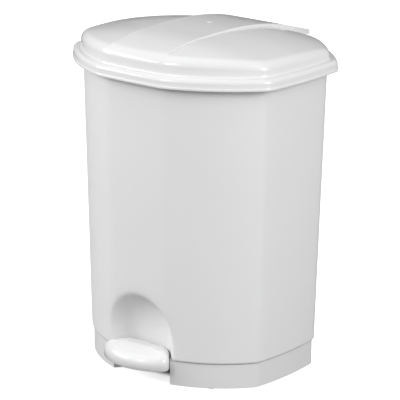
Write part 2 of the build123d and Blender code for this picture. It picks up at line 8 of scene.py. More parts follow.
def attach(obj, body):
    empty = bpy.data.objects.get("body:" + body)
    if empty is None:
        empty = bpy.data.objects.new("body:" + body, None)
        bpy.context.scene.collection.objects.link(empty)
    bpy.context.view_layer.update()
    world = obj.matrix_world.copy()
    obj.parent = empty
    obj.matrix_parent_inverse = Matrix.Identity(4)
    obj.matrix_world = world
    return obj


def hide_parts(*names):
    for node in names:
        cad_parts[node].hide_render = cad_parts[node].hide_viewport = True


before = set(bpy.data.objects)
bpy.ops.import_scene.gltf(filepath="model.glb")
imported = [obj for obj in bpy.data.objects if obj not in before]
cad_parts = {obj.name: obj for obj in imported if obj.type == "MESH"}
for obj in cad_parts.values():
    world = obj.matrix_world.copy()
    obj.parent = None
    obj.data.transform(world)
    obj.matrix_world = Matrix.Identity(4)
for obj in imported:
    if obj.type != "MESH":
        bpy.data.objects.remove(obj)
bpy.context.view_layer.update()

# ---- Camera. It stands about three metres away, to the right of the pedal and a little above the lid,
# with a long lens, and looks at the middle of the bin. It is rolled by less than half a degree.
VIEW_TURN = math.radians(39.3)
VIEW_LIFT = math.radians(16.5)
VIEW_ROLL = math.radians(0.4)
VIEW_DISTANCE = 2.992
AIM_HEIGHT = 0.200
AIM_LEFT = 0.0036
AIM_DOWN = 0.0004

view_back = Vector((math.sin(VIEW_TURN) * math.cos(VIEW_LIFT), -math.cos(VIEW_TURN) * math.cos(VIEW_LIFT),
                    math.sin(VIEW_LIFT)))
view_right = Vector((math.cos(VIEW_TURN), math.sin(VIEW_TURN), 0))
view_up = view_back.cross(view_right)
aim = Vector((0, 0, AIM_HEIGHT)) - view_right * AIM_LEFT - view_up * AIM_DOWN
rolled_right = view_right * math.cos(VIEW_ROLL) + view_up * math.sin(VIEW_ROLL)
rolled_up = view_up * math.cos(VIEW_ROLL) - view_right * math.sin(VIEW_ROLL)

camera_data = bpy.data.cameras.new("camera")
camera_data.lens = 217.7
camera_data.sensor_width = 36
camera = bpy.data.objects.new("camera", camera_data)
bpy.context.scene.collection.objects.link(camera)
camera.matrix_world = (Matrix.Translation(aim + view_back * VIEW_DISTANCE)
                       @ Matrix((rolled_right, rolled_up, view_back)).transposed().to_4x4())
bpy.context.scene.camera = camera

# ---- Floor. A pale sweep that runs far past the view, bright enough to read as white paper. Its glow
# fades out under the bin, a painted shadow where the sweep lies in deep shade.
FLOOR_SIZE = 40
SHADE_HALF_X = 0.136
SHADE_HALF_Y = 0.112
bpy.ops.object.select_all(action="DESELECT")
bpy.ops.mesh.primitive_plane_add(size=FLOOR_SIZE, location=(0, 0, 0))
floor = bpy.context.object
floor.name = "floor"
floor_paint = bpy.data.materials.new("floor_paint")
floor_paint.use_nodes = True
floor_shader = floor_paint.node_tree.nodes["Principled BSDF"]
floor_shader.inputs["Base Color"].default_value = (0.9, 0.9, 0.9, 1)
floor_shader.inputs["Roughness"].default_value = 0.9
floor_shader.inputs["Specular IOR Level"].default_value = 0.1
floor_shader.inputs["Emission Color"].default_value = (1, 1, 1, 1)
floor_dull = floor_paint.node_tree.nodes.new("ShaderNodeBsdfDiffuse")
floor_dull.inputs["Color"].default_value = (0.20, 0.20, 0.20, 1)
sees_floor = floor_paint.node_tree.nodes.new("ShaderNodeLightPath")
floor_mix = floor_paint.node_tree.nodes.new("ShaderNodeMixShader")
floor_links = floor_paint.node_tree.links
floor_links.new(sees_floor.outputs["Is Camera Ray"], floor_mix.inputs["Fac"])
floor_links.new(floor_dull.outputs["BSDF"], floor_mix.inputs[1])
floor_links.new(floor_shader.outputs["BSDF"], floor_mix.inputs[2])
floor_links.new(floor_mix.outputs["Shader"], floor_paint.node_tree.nodes["Material Output"].inputs["Surface"])
floor_place = floor_paint.node_tree.nodes.new("ShaderNodeTexCoord")
floor_shape = floor_paint.node_tree.nodes.new("ShaderNodeMapping")
floor_shape.inputs["Scale"].default_value = (1 / SHADE_HALF_X, 1 / SHADE_HALF_Y, 1)
floor_reach = floor_paint.node_tree.nodes.new("ShaderNodeVectorMath")
floor_reach.operation = "LENGTH"
# Painted shadow: the glow fades to nothing over an oval under the bin, leaving the floor there dark.
floor_glow_and_painted_shadow = floor_paint.node_tree.nodes.new("ShaderNodeMapRange")
floor_glow_and_painted_shadow.interpolation_type = "SMOOTHSTEP"
floor_glow_and_painted_shadow.inputs["From Min"].default_value = 0.74
floor_glow_and_painted_shadow.inputs["From Max"].default_value = 0.90
floor_glow_and_painted_shadow.inputs["To Max"].default_value = 0.75
floor_links.new(floor_place.outputs["Object"], floor_shape.inputs["Vector"])
floor_links.new(floor_shape.outputs["Vector"], floor_reach.inputs[0])
floor_links.new(floor_reach.outputs["Value"], floor_glow_and_painted_shadow.inputs["Value"])
floor_links.new(floor_glow_and_painted_shadow.outputs["Result"], floor_shader.inputs["Emission Strength"])
floor.data.materials.append(floor_paint)

# ---- Lights. A white tent that is brightest in front of the bin and dims behind it, with soft boxes
# above the camera's height: a broad key on the left, one in front and a broad one on the right. Two
# small lamps add the sharper glints on the lid.
bpy.context.scene.view_settings.view_transform = "Standard"
tent = bpy.data.worlds.new("tent")
bpy.context.scene.world = tent
tent.use_nodes = True
tent_light = tent.node_tree.nodes["Background"]
tent_light.inputs["Color"].default_value = (1, 1, 1, 1)
tent_way = tent.node_tree.nodes.new("ShaderNodeTexCoord")
tent_front = tent.node_tree.nodes.new("ShaderNodeVectorMath")
tent_front.operation = "DOT_PRODUCT"
tent_front.inputs[1].default_value = (0.16, -0.66, 0.66)
tent_fade = tent.node_tree.nodes.new("ShaderNodeMapRange")
tent_fade.inputs["From Min"].default_value = -0.35
tent_fade.inputs["From Max"].default_value = 0.75
tent_fade.inputs["To Min"].default_value = 0.22
tent_fade.inputs["To Max"].default_value = 0.72
sees_tent = tent.node_tree.nodes.new("ShaderNodeLightPath")
tent_white = tent.node_tree.nodes.new("ShaderNodeBackground")
tent_white.inputs["Strength"].default_value = 1.05
tent_mix = tent.node_tree.nodes.new("ShaderNodeMixShader")
tent_links = tent.node_tree.links
tent_links.new(tent_way.outputs["Generated"], tent_front.inputs[0])
tent_links.new(tent_front.outputs["Value"], tent_fade.inputs["Value"])
tent_links.new(tent_fade.outputs["Result"], tent_light.inputs["Strength"])
tent_links.new(sees_tent.outputs["Is Camera Ray"], tent_mix.inputs["Fac"])
tent_links.new(tent_light.outputs["Background"], tent_mix.inputs[1])
tent_links.new(tent_white.outputs["Background"], tent_mix.inputs[2])
tent_links.new(tent_mix.outputs["Shader"], tent.node_tree.nodes["World Output"].inputs["Surface"])


def soft_box(name, place, width, height, watts):
    """An area light that faces the middle of the bin."""
    lamp = bpy.data.lights.new(name, "AREA")
    lamp.shape = "RECTANGLE"
    lamp.size = width
    lamp.size_y = height
    lamp.energy = watts
    box = bpy.data.objects.new(name, lamp)
    bpy.context.scene.collection.objects.link(box)
    box.location = place
    box.rotation_euler = (Vector((0, 0, AIM_HEIGHT)) - Vector(place)).to_track_quat("-Z", "Y").to_euler()


soft_box("key_box", (-2.05, -1.28, 1.28), 1.2, 0.9, 31)
soft_box("front_box", (-0.22, -2.34, 1.38), 0.66, 0.62, 13.6)
soft_box("side_box", (2.37, -0.10, 1.22), 1.2, 0.9, 34.5)
soft_box("left_glint", (-1.37, -1.80, 1.12), 0.34, 0.50, 3.4)
soft_box("right_glint", (1.58, -0.41, 1.95), 0.24, 0.16, 1.6)

# ---- Body shell. The tapered outer bin is one moulding of white polypropylene, with gently bulged
# facets, soft corners, a turned lip at the top and a scooped arch in the front for the toe. The rod's
# channel and the two hinge ears stand on its back. Outlines are grown outwards from the skirt's.
FRONT_CORNER = Vector((0.0404, 0.1172))
SIDE_CORNER = Vector((0.1313, 0.0545))
FRONT_BULGE = 0.0012
DIAGONAL_BULGE = 0.0098
SIDE_BULGE = 0.0040
CORNER_BLEND = 0.008
FRONT_CORNER_TURN = math.radians(11.7)
SIDE_CORNER_TURN = math.radians(27.5)
FRONT_STEPS = 54
DIAGONAL_STEPS = 48
SIDE_STEPS = 26
REAR_STEPS = 24
END_CROWDING = 0.55
SKIRT_TOP = 0.033
BODY_TOP = 0.3795
BODY_WALL = 0.0022
BODY_FLOOR = 0.003
BODY_FOOT_GROW = 0.0025
BODY_TOP_GROW = 0.011
LIP_GROW = 0.015
RECESS_HALF = 0.0485
RECESS_SPRING = 0.058
RECESS_DEPTH = 0.024
RECESS_SLOPE = 1 / math.tan(math.radians(35))
RECESS_EDGE = 0.0030
RECESS_ROOT = 0.013
RECESS_RINGS = 47
RECESS_RING_GAP = 0.0017
LIP_PROFILE = ((0.0112, 0.3762), (0.0125, 0.3769), (0.0144, 0.3771), (LIP_GROW, 0.3776), (LIP_GROW, 0.3789),
               (0.0145, BODY_TOP), (0.0093, BODY_TOP), (0.0088, 0.3790))
NOTCH_FRONT = 0.1262
NOTCH_REAR = 0.150
NOTCH_TOP = 0.390
BODY_NOTCH_HALF = 0.0178
BODY_NOTCH_BOTTOM = 0.364
facet_turn = math.atan2(FRONT_CORNER.y - SIDE_CORNER.y, SIDE_CORNER.x - FRONT_CORNER.x)


def plan_ring(grow, height):
    """The faceted outline as a ring of points, grown outwards, starting at the front right corner."""
    front_x = FRONT_CORNER.x + grow * math.tan(facet_turn / 2)
    side_y = SIDE_CORNER.y + grow * math.tan(math.radians(45) - facet_turn / 2)
    front_y = FRONT_CORNER.y + grow
    side_x = SIDE_CORNER.x + grow
    corners = [(front_x, -front_y), (side_x, -side_y), (side_x, side_y), (front_x, front_y),
               (-front_x, front_y), (-side_x, side_y), (-side_x, -side_y), (-front_x, -front_y)]
    turns = [FRONT_CORNER_TURN, SIDE_CORNER_TURN, SIDE_CORNER_TURN, FRONT_CORNER_TURN] * 2
    facets = [(DIAGONAL_BULGE, DIAGONAL_STEPS), (SIDE_BULGE, SIDE_STEPS), (DIAGONAL_BULGE, REAR_STEPS),
              (FRONT_BULGE, REAR_STEPS), (DIAGONAL_BULGE, REAR_STEPS), (SIDE_BULGE, SIDE_STEPS),
              (DIAGONAL_BULGE, DIAGONAL_STEPS), (FRONT_BULGE, FRONT_STEPS)]
    ring = []
    for index, (bulge, steps) in enumerate(facets):
        start = Vector(corners[index])
        run = Vector(corners[(index + 1) % 8]) - start
        outward = Vector((run.y, -run.x)).normalized()
        for step in range(steps):
            share = step / steps - END_CROWDING * math.sin(math.tau * step / steps) / math.tau
            along = run + outward * (4 * bulge * (1 - 2 * share))
            normal = Vector((along.y, -along.x)).normalized()
            turn = turns[index] if share < 0.5 else turns[(index + 1) % 8]
            reach = max(0.0, CORNER_BLEND - min(share, 1 - share) * run.length)
            point = start + run * share + outward * (4 * bulge * share * (1 - share))
            point -= normal * (reach * reach / CORNER_BLEND / 4 * math.sin(turn))
            ring.append((point.x, point.y, height))
    return ring


def soft_ramp(value, blend):
    """Nothing below zero, the value itself above it, and a rounded knee between."""
    return (value + math.hypot(value, blend)) / 2


def dent(ring):
    """The ring with the toe recess pushed into its front."""
    dented = []
    for x, y, z in ring:
        centre_z = max(z, RECESS_SPRING) - RECESS_SPRING
        inside = RECESS_HALF - math.hypot(x, centre_z)
        rise = soft_ramp(inside, RECESS_EDGE) * RECESS_SLOPE
        push = soft_ramp(RECESS_DEPTH, RECESS_ROOT) - soft_ramp(RECESS_DEPTH - rise, RECESS_ROOT)
        dented.append((x, y + push if y < 0 else y, z))
    return dented


def raise_wall(name, rings):
    """A closed skin made by extruding a loop of points through the rings, one after another."""
    bpy.ops.object.select_all(action="DESELECT")
    bpy.ops.mesh.primitive_circle_add(vertices=len(rings[0]), fill_type="NOTHING")
    piece = bpy.context.object
    piece.name = name
    bpy.ops.object.mode_set(mode="EDIT")
    bpy.ops.mesh.select_all(action="SELECT")
    mesh = bmesh.from_edit_mesh(piece.data)
    turn = mesh.verts.layers.int.new("turn")
    for index, vert in enumerate(mesh.verts):
        vert[turn] = index
        vert.co = rings[0][index]
    for ring in rings[1:]:
        bpy.ops.mesh.extrude_region_move()
        mesh = bmesh.from_edit_mesh(piece.data)
        turn = mesh.verts.layers.int["turn"]
        for vert in mesh.verts:
            if vert.select:
                vert.co = ring[vert[turn]]
    bmesh.update_edit_mesh(piece.data)
    bpy.ops.mesh.select_all(action="DESELECT")
    bpy.ops.mesh.select_non_manifold()
    bpy.ops.mesh.edge_face_add()
    bpy.ops.mesh.select_all(action="SELECT")
    bpy.ops.mesh.normals_make_consistent(inside=False)
    bpy.ops.object.mode_set(mode="OBJECT")
    return piece


def across(outline, stations):
    """Rings of one side outline, in Y and Z, repeated at stations along X."""
    return [[(x, y, z) for y, z in outline] for x in stations]


def arc(centre, radius, start, end, steps):
    """Points of an arc, in degrees."""
    points = []
    for step in range(steps + 1):
        angle = math.radians(start + (end - start) * step / steps)
        points.append((centre[0] + radius * math.cos(angle), centre[1] + radius * math.sin(angle)))
    return points


def round_edges(piece, width, segments):
    """A small radius on every sharp edge of a piece."""
    bevel = piece.modifiers.new("edge_radius", "BEVEL")
    bevel.width = width
    bevel.segments = segments
    bevel.angle_limit = math.radians(35)
    bpy.context.view_layer.objects.active = piece
    bpy.ops.object.modifier_apply(modifier=bevel.name)


def cut_box(piece, low, high):
    """A box-shaped opening cut through a piece."""
    bpy.ops.object.select_all(action="DESELECT")
    bpy.ops.mesh.primitive_cube_add(size=1)
    cutter = bpy.context.object
    cutter.scale = [high[axis] - low[axis] for axis in range(3)]
    cutter.location = [(high[axis] + low[axis]) / 2 for axis in range(3)]
    opening = piece.modifiers.new("opening", "BOOLEAN")
    opening.operation = "DIFFERENCE"
    opening.solver = "EXACT"
    opening.object = cutter
    bpy.context.view_layer.objects.active = piece
    bpy.ops.object.modifier_apply(modifier=opening.name)
    bpy.data.objects.remove(cutter)


def weld(whole, *parts):
    """Pieces of one moulding joined in one object."""
    bpy.ops.object.select_all(action="DESELECT")
    for part in (whole, *parts):
        part.select_set(True)
    bpy.context.view_layer.objects.active = whole
    bpy.ops.object.join()


def smooth(piece, degrees):
    """Smooth shading that keeps edges sharper than the angle."""
    bpy.ops.object.select_all(action="DESELECT")
    piece.select_set(True)
    bpy.context.view_layer.objects.active = piece
    bpy.ops.object.shade_smooth_by_angle(angle=math.radians(degrees))


def body_grow(z):
    """The drafted wall's growth at a height."""
    return BODY_FOOT_GROW + (BODY_TOP_GROW - BODY_FOOT_GROW) * (z - SKIRT_TOP) / (BODY_TOP - SKIRT_TOP)


wall_heights = [SKIRT_TOP + 0.0008 + RECESS_RING_GAP * step for step in range(RECESS_RINGS)]
wall_heights += [0.120, 0.135, 0.160, 0.200, 0.250, 0.300, 0.340, 0.362, 0.3735]
body_rings = [dent(plan_ring(BODY_FOOT_GROW - 0.0006, SKIRT_TOP))]
body_rings += [dent(plan_ring(body_grow(z), z)) for z in wall_heights]
body_rings += [plan_ring(grow, z) for grow, z in LIP_PROFILE]
body_rings += [dent(plan_ring(body_grow(z) - BODY_WALL, z))
               for z in reversed(wall_heights) if z > SKIRT_TOP + BODY_FLOOR]
body_shell = raise_wall("body_moulding", body_rings)
cut_box(body_shell, (-BODY_NOTCH_HALF, NOTCH_FRONT, BODY_NOTCH_BOTTOM),
        (BODY_NOTCH_HALF, NOTCH_REAR, NOTCH_TOP))

CHANNEL_HALF = 0.020
CHANNEL_REAR = 0.1435
CHANNEL_WALL = 0.0022
CHANNEL_TOP = 0.364
CHANNEL_CORNER = 0.003
CHANNEL_INNER_CORNER = 0.001


def channel_ring(height, front):
    """The rod channel's U-shaped section."""
    inner_half = CHANNEL_HALF - CHANNEL_WALL
    outer_y = CHANNEL_REAR - CHANNEL_CORNER
    inner_y = CHANNEL_REAR - CHANNEL_WALL - CHANNEL_INNER_CORNER
    outer = arc((-CHANNEL_HALF + CHANNEL_CORNER, outer_y), CHANNEL_CORNER, 180, 90, 6)
    outer += arc((CHANNEL_HALF - CHANNEL_CORNER, outer_y), CHANNEL_CORNER, 90, 0, 6)
    inner = arc((inner_half - CHANNEL_INNER_CORNER, inner_y), CHANNEL_INNER_CORNER, 0, 90, 4)
    inner += arc((-inner_half + CHANNEL_INNER_CORNER, inner_y), CHANNEL_INNER_CORNER, 90, 180, 4)
    section = [(-CHANNEL_HALF, front), *outer, (CHANNEL_HALF, front), (inner_half, front), *inner,
               (-inner_half, front)]
    return [(x, y, height) for x, y in section]


rear_wall = FRONT_CORNER.y + FRONT_BULGE - BODY_WALL / 2
channel = raise_wall("channel", [channel_ring(SKIRT_TOP, rear_wall + BODY_FOOT_GROW),
                                 channel_ring(CHANNEL_TOP, rear_wall + body_grow(CHANNEL_TOP))])

HINGE_Y = 0.1485
HINGE_Z = 0.3835
KNUCKLE_R = 0.0053
EAR_INNER = 0.024
EAR_OUTER = 0.029
EAR_FRONT = 0.1283
EAR_SHOULDER_Z = 0.3725
EAR_ROOT_Z = 0.345
EAR_HEEL_Z = 0.36225
EAR_EDGE = 0.0006
ear_outline = [(HINGE_Y - KNUCKLE_R, EAR_SHOULDER_Z), (EAR_FRONT, EAR_SHOULDER_Z), (EAR_FRONT, EAR_ROOT_Z),
               (HINGE_Y, EAR_HEEL_Z)]
ear_outline += arc((HINGE_Y, HINGE_Z), KNUCKLE_R, 0, 180, 16)
ears = []
for side in (-1, 1):
    ear = raise_wall("ear", across(ear_outline, (side * EAR_INNER, side * EAR_OUTER)))
    round_edges(ear, EAR_EDGE, 2)
    ears.append(ear)
weld(body_shell, channel, *ears)
smooth(body_shell, 40)
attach(body_shell, "body")
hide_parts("body_shell")


def start_paint(name):
    """A new material, and the object's own coordinates for its textures to follow."""
    paint = bpy.data.materials.new(name)
    paint.use_nodes = True
    place = paint.node_tree.nodes.new("ShaderNodeTexCoord")
    return paint, place.outputs["Object"]


def lay_texture(paint, place, kind, settings):
    """A procedural texture laid on the object."""
    texture = paint.node_tree.nodes.new(kind)
    for socket, value in settings.items():
        texture.inputs[socket].default_value = value
    paint.node_tree.links.new(place, texture.inputs["Vector"])
    return texture


def mix_colours(paint, pattern, colour, shade):
    """Two close colours, mixed by a pattern."""
    tint = paint.node_tree.nodes.new("ShaderNodeMix")
    tint.data_type = "RGBA"
    tint.inputs["A"].default_value = (*colour, 1)
    tint.inputs["B"].default_value = (*shade, 1)
    paint.node_tree.links.new(pattern, tint.inputs["Factor"])
    shader = paint.node_tree.nodes["Principled BSDF"]
    paint.node_tree.links.new(tint.outputs["Result"], shader.inputs["Base Color"])


def vary_gloss(paint, pattern, glossiest, dullest, spread=(0.0, 1.0)):
    """A roughness that changes with a pattern, over the spread of the pattern's values."""
    polish = paint.node_tree.nodes.new("ShaderNodeMapRange")
    polish.inputs["From Min"].default_value = spread[0]
    polish.inputs["From Max"].default_value = spread[1]
    polish.inputs["To Min"].default_value = glossiest
    polish.inputs["To Max"].default_value = dullest
    paint.node_tree.links.new(pattern, polish.inputs["Value"])
    shader = paint.node_tree.nodes["Principled BSDF"]
    paint.node_tree.links.new(polish.outputs["Result"], shader.inputs["Roughness"])


def raise_bumps(paint, pattern, strength, distance, beneath=None):
    """Small relief from a pattern, on top of any coarser relief beneath it."""
    bump = paint.node_tree.nodes.new("ShaderNodeBump")
    bump.inputs["Strength"].default_value = strength
    bump.inputs["Distance"].default_value = distance
    paint.node_tree.links.new(pattern, bump.inputs["Height"])
    if beneath:
        paint.node_tree.links.new(beneath.outputs["Normal"], bump.inputs["Normal"])
    shader = paint.node_tree.nodes["Principled BSDF"]
    paint.node_tree.links.new(bump.outputs["Normal"], shader.inputs["Normal"])
    return bump


def moulded_plastic(name, colour, shade, gloss, grain):
    """Injection-moulded plastic: faint flow clouds, a fine skin, and slightly uneven gloss."""
    paint, place = start_paint(name)
    paint.node_tree.nodes["Principled BSDF"].inputs["IOR"].default_value = 1.49
    flow = lay_texture(paint, place, "ShaderNodeTexNoise", {"Scale": 9, "Detail": 4, "Distortion": 0.6})
    rub = lay_texture(paint, place, "ShaderNodeTexNoise", {"Scale": 45, "Detail": 6})
    swell = lay_texture(paint, place, "ShaderNodeTexNoise", {"Scale": 16, "Detail": 1})
    skin = lay_texture(paint, place, "ShaderNodeTexNoise", {"Scale": 520, "Detail": 3})
    mix_colours(paint, flow.outputs["Fac"], colour, shade)
    vary_gloss(paint, rub.outputs["Fac"], gloss - 0.04, gloss + 0.06, spread=(0.3, 0.7))
    swell_bump = raise_bumps(paint, swell.outputs["Fac"], 0.2, 0.0008)
    raise_bumps(paint, skin.outputs["Fac"], grain, 0.00003, beneath=swell_bump)
    return paint


body_white = moulded_plastic("body_white", (0.80, 0.80, 0.80), (0.775, 0.775, 0.778), 0.40, 0.12)
body_shell.data.materials.append(body_white)


# ---- Base skirt. The low ring that the bin stands in is the same white plastic, moulded separately
# and screwed up into the body's floor from underneath. It is open at the front for the pedal's neck.
def finish_node(paint, *names):
    """Gives carried-over parts their finish."""
    for name in names:
        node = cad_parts[name]
        node.data.materials.clear()
        node.data.materials.append(paint)


skirt_white = moulded_plastic("skirt_white", (0.75, 0.75, 0.75), (0.725, 0.725, 0.728), 0.42, 0.12)
finish_node(skirt_white, "base_skirt")


# ---- Feet. Four soft pads of pale thermoplastic rubber are pressed into the skirt's flange.
def soft_rubber(name, colour, worn):
    """Matt rubber, mottled a little, with a fine pebbled skin."""
    paint, place = start_paint(name)
    mottle = lay_texture(paint, place, "ShaderNodeTexNoise", {"Scale": 120, "Detail": 5})
    pebble = lay_texture(paint, place, "ShaderNodeTexVoronoi", {"Scale": 1400})
    mix_colours(paint, mottle.outputs["Fac"], colour, worn)
    vary_gloss(paint, mottle.outputs["Fac"], 0.62, 0.85)
    raise_bumps(paint, pebble.outputs["Distance"], 0.3, 0.0002)
    return paint


finish_node(soft_rubber("foot_grey", (0.30, 0.30, 0.31), (0.22, 0.22, 0.23)),
            "foot_front_left", "foot_front_right", "foot_rear_left", "foot_rear_right")


# ---- Steel parts. The pedal's axle and its clips, the lift rod, the lid's hinge pin and the screws are
# bright zinc-plated steel: a cool grey with a faint spangle and fine drawing lines.
def plated_steel(name):
    """Zinc plate: a mottled cool grey metal with uneven polish and a fine drawn surface."""
    paint, place = start_paint(name)
    paint.node_tree.nodes["Principled BSDF"].inputs["Metallic"].default_value = 1.0
    spangle = lay_texture(paint, place, "ShaderNodeTexVoronoi", {"Scale": 420})
    streak = lay_texture(paint, place, "ShaderNodeTexNoise", {"Scale": 900, "Detail": 4})
    mix_colours(paint, spangle.outputs["Distance"], (0.62, 0.63, 0.65), (0.50, 0.51, 0.54))
    vary_gloss(paint, streak.outputs["Fac"], 0.22, 0.42)
    raise_bumps(paint, streak.outputs["Fac"], 0.1, 0.0001)
    return paint


finish_node(plated_steel("zinc_plate"), "pedal_axle", "axle_clip_left", "axle_clip_right", "lift_rod",
            "hinge_pin", "base_screws", "tread_screws")

# ---- Pedal lever and rod guides. The lever under the bin is a ribbed grey moulding that swings on the
# axle; the guides are small natural-coloured clips snapped into the channel around the rod.
finish_node(moulded_plastic("lever_grey", (0.52, 0.52, 0.53), (0.47, 0.47, 0.48), 0.45, 0.25), "pedal_lever")
finish_node(moulded_plastic("guide_natural", (0.72, 0.71, 0.68), (0.66, 0.65, 0.62), 0.36, 0.1),
            "rod_guide_lower", "rod_guide_upper")

# ---- Pedal tread. A glossy white D-shaped pad, hollow underneath with a full soft edge, is screwed to
# the lever's plate and juts out of the toe recess.
TREAD_HALF = 0.0525
TREAD_FRONT = -0.150
TREAD_SIDE_Y = -0.1272
TREAD_BACK = -0.0988
TREAD_BACK_HALF = 0.0318
TREAD_BOTTOM = 0.022
TREAD_TOP = 0.0415
TREAD_WALL = 0.0026
TREAD_EDGE = 0.0105
TREAD_TILT = 0.095
TREAD_SPINE_Y = -0.122
TREAD_SPINE_HALF = 0.026
TREAD_BEND = 0.011
TREAD_NOSE_TRIM = 7
TREAD_CROWN = 0.0022
TREAD_CROWN_REACH = 0.0215
TREAD_LIP = 0.0005
TREAD_INNER_DROP = 0.0024
TREAD_INNER_EDGE = 0.8 * TREAD_EDGE
SPINE_REACH = 0.97
TREAD_SLOT_HALF = 0.0175
TREAD_SLOT_FRONT = -0.106
TREAD_SLOT_TOP = 0.0295
tread_rise = TREAD_SIDE_Y - TREAD_FRONT
tread_sweep = (TREAD_HALF ** 2 + tread_rise ** 2) / 2 / tread_rise
tread_angle = math.degrees(math.asin(TREAD_HALF / tread_sweep))
nose = arc((0, TREAD_FRONT + tread_sweep), tread_sweep, TREAD_NOSE_TRIM - 90 - tread_angle,
           tread_angle - 90 - TREAD_NOSE_TRIM, 44)


def bend_between(start, corner, end, steps):
    """A smooth bend from one point to another round a corner."""
    bend = []
    for step in range(steps + 1):
        share = step / steps
        bend.append(tuple(start[axis] * (1 - share) ** 2 + corner[axis] * 2 * share * (1 - share)
                          + end[axis] * share ** 2 for axis in range(2)))
    return bend


def towards(start, end, distance):
    """The point a distance from the start on the way to the end."""
    gap = math.dist(start, end)
    return tuple(start[axis] + (end[axis] - start[axis]) * distance / gap for axis in range(2))


right_side = (TREAD_HALF, TREAD_SIDE_Y)
right_back = (TREAD_BACK_HALF, TREAD_BACK)
left_back = (-TREAD_BACK_HALF, TREAD_BACK)
left_side = (-TREAD_HALF, TREAD_SIDE_Y)
tread_outline = nose[:-1]
tread_outline += bend_between(nose[-1], right_side, towards(right_side, right_back, TREAD_BEND), 14)
tread_outline += bend_between(towards(right_back, right_side, TREAD_BEND), right_back,
                              towards(right_back, left_back, TREAD_BEND), 12)
tread_outline += bend_between(towards(left_back, right_back, TREAD_BEND), left_back,
                              towards(left_back, left_side, TREAD_BEND), 12)
tread_outline += bend_between(towards(left_side, left_back, TREAD_BEND), left_side, nose[0], 14)[:-1]


def tread_ring(inset, height):
    """The tread's outline drawn in towards its spine."""
    ring = []
    for x, y in tread_outline:
        spine = (max(-TREAD_SPINE_HALF, min(TREAD_SPINE_HALF, x)), TREAD_SPINE_Y)
        gap = math.dist((x, y), spine)
        near = towards((x, y), spine, min(inset, gap * SPINE_REACH))
        tilt = TREAD_TILT * (near[1] - TREAD_FRONT) * (height - TREAD_BOTTOM) / (TREAD_TOP - TREAD_BOTTOM)
        ring.append((*near, height + tilt))
    return ring


tread_rings = [tread_ring(0.030 - 0.004 * step, TREAD_TOP - TREAD_WALL - 0.0003) for step in range(4)]
inner_top = TREAD_TOP - TREAD_WALL - TREAD_INNER_DROP
tread_rings += [tread_ring(TREAD_WALL + TREAD_INNER_EDGE * (1 - math.cos(math.radians(angle))),
                           inner_top - TREAD_EDGE * (1 - math.sin(math.radians(angle))))
                for angle in (80, 60, 40, 20, 0)]
tread_rings += [tread_ring(TREAD_WALL, TREAD_BOTTOM + TREAD_LIP),
                tread_ring(TREAD_WALL - TREAD_LIP, TREAD_BOTTOM),
                tread_ring(0.0006, TREAD_BOTTOM), tread_ring(0.0001, TREAD_BOTTOM + TREAD_LIP)]
tread_rings += [tread_ring(TREAD_EDGE * (1 - math.cos(math.radians(angle))),
                           TREAD_TOP - TREAD_CROWN - TREAD_EDGE * (1 - math.sin(math.radians(angle))))
                for angle in range(0, 91, 9)]
tread_rings += [tread_ring(TREAD_EDGE + TREAD_CROWN_REACH * share, TREAD_TOP - TREAD_CROWN * (1 - share) ** 2)
                for share in (0.08, 0.18, 0.3, 0.45, 0.6, 0.8, 1.0)]
pedal_tread = raise_wall("tread_pad", tread_rings)
cut_box(pedal_tread, (-TREAD_SLOT_HALF, TREAD_SLOT_FRONT, 0.018), (TREAD_SLOT_HALF, -0.090, TREAD_SLOT_TOP))
smooth(pedal_tread, 50)
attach(pedal_tread, "pedal")
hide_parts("pedal_tread")
pedal_tread.data.materials.append(
    moulded_plastic("tread_white", (0.76, 0.76, 0.76), (0.745, 0.745, 0.748), 0.15, 0.02))

# ---- Lid. One white moulding: a rounded rim with a flat ledge, a low dome with a full shoulder, and a
# flat centre band that stands a little proud and runs back over the hinge as a tail. The knuckle and
# the lug that the rod pushes hang under the tail.
LID_EDGE = 0.375
LEDGE_TOP = 0.389
LID_WALL = 0.0022
DOME_GROW = 0.0133
SHOULDER = 0.0095
LEAST_SHOULDER = 0.0025
SHOULDER_CLEARANCE = 0.004
INSET_SHARE = 0.8
RING_SPREAD = 0.020
CROWN_RADIUS = 0.644
BAND_HALF = 0.044
RIDGE = ((-0.140, 0.4040), (-0.132, 0.4085), (-0.116, 0.4135), (-0.080, 0.4200), (-0.039, 0.4222),
         (0.009, 0.4224), (0.057, 0.4190), (0.098, 0.4118), (0.132, 0.4022), (0.155, 0.3960))
RIM_PROFILE = ((0.0111, 0.3875), (0.0114, 0.3868), (0.0195, 0.3864), (0.0203, 0.3858), (0.0206, 0.3848),
               (0.0207, 0.3752), (0.0210, LID_EDGE), (0.0222, LID_EDGE), (0.0228, 0.3752), (0.0230, 0.3756),
               (0.0230, 0.3776), (0.0228, 0.3780), (0.0224, 0.3783), (0.0222, 0.3788), (0.0222, 0.3830),
               (0.0220, 0.3846), (0.0214, 0.3861), (0.0204, 0.3875), (0.0192, 0.3884), (0.0178, 0.38885),
               (0.0165, LEDGE_TOP), (0.0153, LEDGE_TOP), (0.0146, 0.3892), (0.0140, 0.3898),
               (0.0136, 0.3908), (0.0134, 0.3922))
STEP_DOWN = ((-0.140, 0.0002), (-0.129, 0.0004), (-0.120, 0.0010), (-0.080, 0.0013), (-0.039, 0.0017),
             (0.009, 0.0023), (0.057, 0.0032), (0.098, 0.0046), (0.134, 0.0060), (0.155, 0.0064))


def follow(table, place):
    """A smooth curve through a table of places and heights."""
    place = max(table[0][0], min(table[-1][0], place))
    index = max(i for i in range(len(table) - 1) if table[i][0] <= place)
    slopes = []
    for i in (index, index + 1):
        before = table[max(i - 1, 0)]
        after = table[min(i + 1, len(table) - 1)]
        slopes.append((after[1] - before[1]) / (after[0] - before[0]))
    span = table[index + 1][0] - table[index][0]
    share = (place - table[index][0]) / span
    rise = table[index + 1][1] - table[index][1]
    bend = slopes[0] * span * share * (1 - share) ** 2 - slopes[1] * span * share ** 2 * (1 - share)
    return table[index][1] + rise * share ** 2 * (3 - 2 * share) + bend


